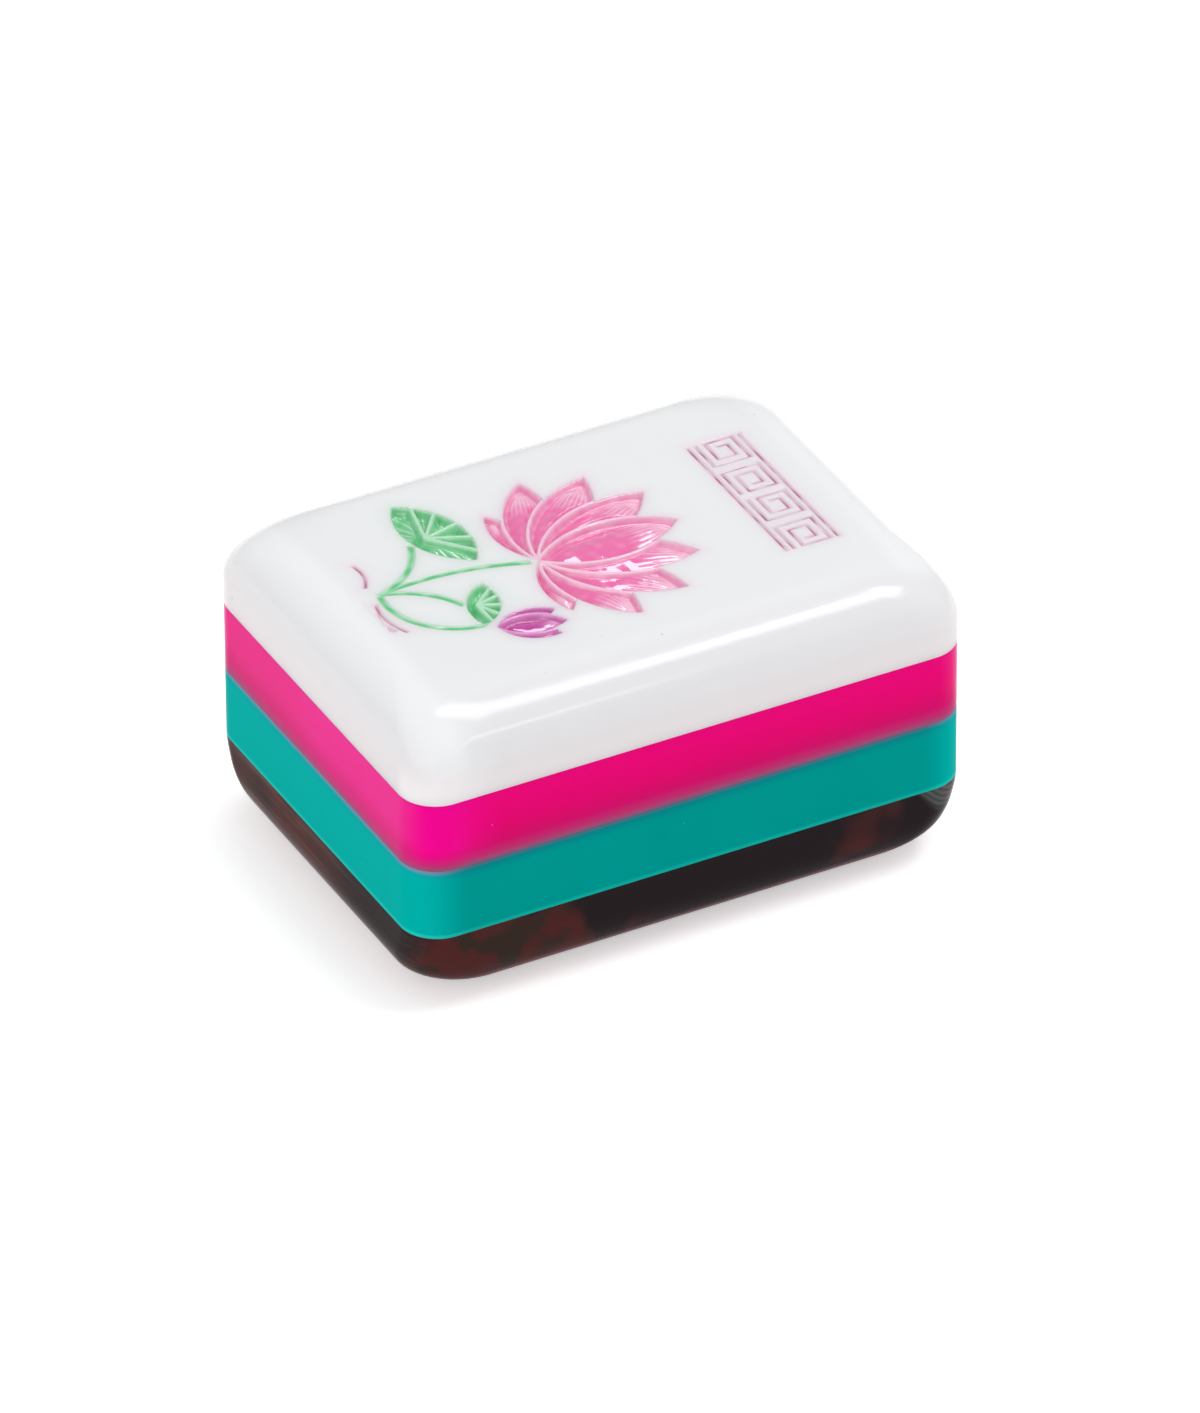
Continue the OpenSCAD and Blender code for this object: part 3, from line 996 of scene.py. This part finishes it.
# painted light: the end faces a lighter pink, more on their right part
painted_end_face = end_share(tree, place, 1.0, 0.1), height_share(tree, place, PINK_Z - 0.1, PINK_Z + 1.9)
colour = lay(tree, colour, "#FF2AA6", *painted_end_face, 0.34)
painted_light_right_part = along_share(tree, place, "X", -5.0, 2.0)
colour = lay(tree, colour, "#FF2AA6", *painted_end_face, painted_light_right_part, 0.34)
# painted glow of the rounded upright edges, above the joint
above_joint = height_share(tree, place, PINK_Z + 0.2, PINK_Z + 1.2)
colour = lay(tree, colour, "#FF009A", *painted_glow_edges(tree, place, 1.45), above_joint)
colour = lay(tree, colour, "#FF7CC0", specks(tree, place, 2.2, 0.07), 0.5)
tree.links.new(colour, shader.inputs["Base Color"])
wave_bump(tree, shader, place)
dress(middle["pink"], pink)

# %% [markdown]
# The teal is opaque and even, but a painted light makes it lighter towards the ends and the
# upright edges. Just under the clear pink its colour turns a little blue, and a hair's breadth
# above the back a painted highlight makes it lighter, where the bonded joint scatters light.

# %% Opaque teal plastic
teal, tree, shader, place = new_material("opaque_teal_acrylic", {"Roughness": 0.1, "IOR": 1.025})
cloud = add_node(tree, "ShaderNodeTexNoise", {"Scale": 1 / (6 * MM), "Detail": 2.0}, Vector=place)
colour = lay(tree, "#00958E", "#00A09A", cloud.outputs["Fac"])
# painted light: lighter towards the ends, also in the joint colours below
ends = end_share(tree, place, 3.0, 0.2)
colour = lay(tree, colour, "#00B7AF", ends)
under_pink = height_share(tree, place, PINK_Z - 0.7, PINK_Z - 0.1)
colour = lay(tree, colour, lay(tree, "#0B828C", "#10AAB2", ends), under_pink)
at_pink = height_share(tree, place, PINK_Z - 0.25, PINK_Z)
colour = lay(tree, colour, lay(tree, "#68607F", "#8A8EB0", ends), at_pink)
colour = lay(tree, colour, "#5FD3CA", specks(tree, place, 2.4, 0.07), 0.5)
# painted highlight along the joint with the back
painted_highlight_at_back = height_share(tree, place, TEAL_Z + 0.24, TEAL_Z + 0.14)
colour = lay(tree, colour, lay(tree, "#0FB0A4", "#22CDC2", ends), painted_highlight_at_back, 0.9)
tree.links.new(colour, shader.inputs["Base Color"])
wave_bump(tree, shader, place)
dress(middle["teal"], teal)

# %% [markdown]
# Tortoiseshell is a clear brown plastic with darker clouds stirred into it: near black, with
# maroon patches that show most near the ends, and small olive spots inside those.

# %% Clouds in the tortoiseshell
shell, tree, shader, place = new_material("tortoiseshell_acrylic", {"Roughness": 0.06, "IOR": 1.09})


def cloud_share(size_mm, offset_mm, low, high, lift=None):
    """Patches of a cloudy noise: 0 where it is below low and 1 above high."""
    moved = add_node(
        tree, "ShaderNodeMapping", {"Location": tuple(v * MM for v in offset_mm)}, Vector=place
    )
    noise = add_node(
        tree, "ShaderNodeTexNoise",
        {"Scale": 1 / (size_mm * MM), "Detail": 2.0, "Roughness": 0.45, "Distortion": 0.3},
        Vector=moved.outputs["Vector"],
    )
    value = noise.outputs["Fac"]
    if lift is not None:
        value = add_node(tree, "ShaderNodeMath", {"operation": "ADD"}, i0=value, i1=lift).outputs[0]
    patches = add_node(
        tree, "ShaderNodeMapRange",
        {"interpolation_type": "SMOOTHSTEP", "From Min": low, "From Max": high}, Value=value,
    )
    return patches.outputs["Result"]


near_end = along_share(tree, place, "Y", -3.5, -9.0)
more = add_node(tree, "ShaderNodeMath", {"operation": "MULTIPLY"}, i0=near_end, i1=0.2)
patches = cloud_share(4.0, (0, 4.5, 0), 0.53, 0.7, more.outputs[0])
brown = lay(tree, "#271F22", "#502726", patches)
spots = cloud_share(2.2, (3, 5, 0), 0.5, 0.64)
brown = lay(tree, brown, "#2E2B24", spots, patches, 0.8)
print("tortoiseshell clouds take", len(tree.nodes), "nodes")

# %% [markdown]
# Light shows inside the clear brown where it can get in, and it is painted into the colour:
# a lighter brown with fine light streaks that run across the ends, a painted shade over the
# ends' part towards +X, and a reddish painted glow at the rounded lower edge, where the plastic
# is thin.

# %% Painted light at the ends and rim of the tortoiseshell
STREAK_MM, STREAK_SQUEEZE = 0.3, (0.05, 1, 1)
# painted light on the end faces: a lighter brown and light streaks
painted_end_face = end_share(tree, place, 0.8, 0.0)
brown = lay(tree, brown, "#64403B", painted_end_face, 0.28)
stretched = add_node(tree, "ShaderNodeMapping", {"Scale": STREAK_SQUEEZE}, Vector=place)
streaks = add_node(
    tree, "ShaderNodeTexNoise", {"Scale": 1 / (STREAK_MM * MM), "Detail": 2.0},
    Vector=stretched.outputs["Vector"],
)
bright = add_node(
    tree, "ShaderNodeMapRange", {"From Min": 0.5, "From Max": 0.75}, Value=streaks.outputs["Fac"]
)
brown = lay(tree, brown, "#A08078", painted_end_face, bright.outputs["Result"], 0.22)
# painted shade on the ends' part towards +X
painted_shade_part = along_share(tree, place, "X", -2.0, 5.5)
brown = lay(tree, brown, "#2B2628", painted_end_face, painted_shade_part, 0.85)
# painted glow at the rounded lower edge
rim = height_share(tree, place, 1.5, 0.8), height_share(tree, place, 0.2, 0.6)
brown = lay(tree, brown, "#A85A6C", *rim, 0.6)
print("with ends and rim:", len(tree.nodes), "nodes")

# %% [markdown]
# Two of its upright edges, where X and Y have the same sign, get a painted reflection: a pale
# fan of fine lines, as clear plastic shows at a corner. The fan widens upwards, so its shape
# comes from the sum of how near a point is to the corner and how high it is.

# %% Painted reflection: a fan of fine lines at two upright edges
FAN_PITCH_MM = 0.4
split = add_node(tree, "ShaderNodeSeparateXYZ", Vector=place)
x_times_y = add_node(
    tree, "ShaderNodeMath", {"operation": "MULTIPLY"}, i0=split.outputs["X"], i1=split.outputs["Y"]
)
same_sign = add_node(
    tree, "ShaderNodeMath", {"operation": "GREATER_THAN"}, i0=x_times_y.outputs[0], i1=0.0
)
corner = add_node(
    tree, "ShaderNodeMath", {"operation": "MULTIPLY"},
    i0=end_share(tree, place, 3.6, 1.4), i1=side_share(tree, place, 2.2, 0.4),
)
fan_sum = add_node(
    tree, "ShaderNodeMath", {"operation": "ADD"},
    i0=corner.outputs[0], i1=height_share(tree, place, 2.6, 4.5),
)
fan_shape = add_node(
    tree, "ShaderNodeMapRange",
    {"interpolation_type": "SMOOTHSTEP", "From Min": 1.1, "From Max": 1.5}, Value=fan_sum.outputs[0],
)
fan_lines = add_node(
    tree, "ShaderNodeTexWave",
    {"bands_direction": "DIAGONAL", "Scale": 2 * math.pi / (10 * FAN_PITCH_MM * MM), "Distortion": 0.3},
    Vector=place,
)
# painted reflection: a pale fan at two upright edges
painted_reflection_fan = fan_shape.outputs["Result"], same_sign.outputs[0], 0.15
brown = lay(tree, brown, "#8B9796", *painted_reflection_fan)
brown = lay(tree, brown, "#98A2A0", *painted_reflection_fan, fan_lines.outputs["Fac"])
tree.links.new(brown, shader.inputs["Base Color"])
wave_bump(tree, shader, place)
dress(back, shell)

# %% [markdown]
# Enamel is a glossy paint, wet-looking and a little translucent: deep in colour where it
# pools, pale where only a film covers the plastic. One recipe with two colours serves them
# all, and the film attribute says where each colour goes. A pool dries a little wavy, which
# breaks the lamps' mirror images into small glints.

# %% Enamels
def enamel_material(name, deep, pale):
    material, tree, shader, place = new_material(name, {
        "Roughness": 0.12, "IOR": 1.5, "Coat Weight": 1.0, "Coat Roughness": 0.03, "Coat IOR": 1.85,
    })
    film = add_node(tree, "ShaderNodeAttribute", {"attribute_name": "film"})
    tree.links.new(lay(tree, deep, pale, film.outputs["Fac"]), shader.inputs["Base Color"])
    wave_bump(tree, shader, place, grain_mm=1.2, height_mm=0.1)
    return material


enamels = {
    "pink": enamel_material("pink_enamel", "#F067AB", "#FCC8E1"),
    "magenta": enamel_material("magenta_enamel", "#BF2299", "#E693CF"),
    "green": enamel_material("green_enamel", "#4FC87C", "#B4E9C4"),
    "mauve": enamel_material("mauve_enamel", "#C46A99", "#F1D3E3"),
}
FINISHES = {
    "front_petal": ("pink", "pink_enamel"), "inner_petals": ("pink", "pink_enamel"),
    "middle_petals": ("pink", "pink_enamel"), "outer_petals": ("pink", "pale_pink_enamel"),
    "bud": ("magenta", "magenta_enamel"), "leaves": ("green", "green_enamel"),
    "stems": ("green", "green_enamel"), "ripples": ("mauve", "mauve_enamel"),
    "fret": ("mauve", "mauve_enamel"),
}
for name, (finish, slot) in FINISHES.items():
    dress(pieces[name], enamels[finish])

# %% [markdown]
# ## Table
#
# The tile lies on a plain white table, as in a small product studio. In such a picture the
# table is lit past white, so only the places that the tile really shades are seen to be darker.
# The table's material adds that extra light for rays that come from the camera or through
# glass, and less of it for reflections, because the table just beside the tile is what the
# tile mirrors. It puts no more light on the tile.

# %% Table
TABLE_MM = 6000


def strength_by_ray(tree, lighting, seen, mirrored):
    """A strength for lighting, one for rays seen straight or through glass, one for reflections."""
    ray = add_node(tree, "ShaderNodeLightPath")
    straight = add_node(
        tree, "ShaderNodeMath", {"operation": "ADD", "use_clamp": True},
        i0=ray.outputs["Is Camera Ray"], i1=ray.outputs["Is Transmission Ray"],
    )
    base = add_node(
        tree, "ShaderNodeMapRange", {"To Min": lighting, "To Max": seen}, Value=straight.outputs[0]
    )
    gloss = add_node(
        tree, "ShaderNodeMath", {"operation": "MULTIPLY"},
        i0=ray.outputs["Is Glossy Ray"], i1=mirrored - lighting,
    )
    both = add_node(
        tree, "ShaderNodeMath", {"operation": "ADD"}, i0=base.outputs["Result"], i1=gloss.outputs[0]
    )
    return both.outputs[0]


table_bm = bmesh.new()
bmesh.ops.create_grid(table_bm, x_segments=1, y_segments=1, size=TABLE_MM / 2)
table_mesh = bpy.data.meshes.new("table")
table_bm.to_mesh(table_mesh)
table_bm.free()
table_mesh.transform(Matrix.Scale(MM, 4))
table = bpy.data.objects.new("table", table_mesh)
bpy.context.scene.collection.objects.link(table)
paper, tree, shader, _ = new_material("white_table", {
    "Base Color": linear("#FAFAFA"), "Roughness": 0.8, "Specular IOR Level": 0.0,
    "Emission Color": linear("#FFFFFF"),
})
extra = strength_by_ray(tree, lighting=0.0, seen=0.45, mirrored=0.2)
tree.links.new(extra, shader.inputs["Emission Strength"])
dress(table, paper)

# %% [markdown]
# ## Light
#
# The light is wide and even. Two strip lamps overhead meet in a shallow angle and make the
# bright line along the long rounded edge. Their places follow from the mirror rule: halfway
# between the camera and a lamp lies the direction that the fillet faces where the line is.
# A small softbox stands to the side and a wide dim one in front. The white room around works
# as the table does: it is seen white, and it lights and mirrors a bit darker.

# %% Softboxes and surround
CENTRE_MM = Vector((0, 0, 8))


def softbox(name, direction, distance_mm, size_mm, radiance, along=(0, 0, 1)):
    """A lamp that looks at the tile, its second size running along. Radiance 1 is paper white."""
    lamp = bpy.data.lights.new(name, "AREA")
    lamp.shape = "RECTANGLE"
    lamp.size, lamp.size_y = (s * MM for s in size_mm)
    lamp.energy = radiance * math.pi * lamp.size * lamp.size_y
    holder = bpy.data.objects.new(name, lamp)
    bpy.context.scene.collection.objects.link(holder)
    way = Vector(direction).normalized()
    holder.location = (CENTRE_MM + way * distance_mm) * MM
    across = Vector(along).cross(way).normalized()
    holder.rotation_euler = Matrix((across, way.cross(across), way)).transposed().to_euler()


softbox("near_strip", (-0.012, 0.2, 0.978), 600, (124, 500), 5.0, (0.68, 0.35, 0))
softbox("far_strip", (0.145, 0.52, 0.845), 600, (116, 385), 5.0, (-0.6, 0.22, 0))
softbox("side_softbox", (0.811, 0.292, 0.508), 600, (106, 45), 4.5)
softbox("front_softbox", (0.36, -0.86, 0.35), 900, (1200, 560), 0.8)

world = bpy.data.worlds.new("studio")
world.use_nodes = True
background = world.node_tree.nodes["Background"]
background.inputs["Color"].default_value = linear("#FFFFFF")
surround = strength_by_ray(world.node_tree, lighting=0.6, seen=1.0, mirrored=0.45)
world.node_tree.links.new(surround, background.inputs["Strength"])
bpy.context.scene.world = world
bpy.context.scene.view_settings.view_transform = "Standard"
print("lamps:", [lamp.name for lamp in bpy.data.lights])
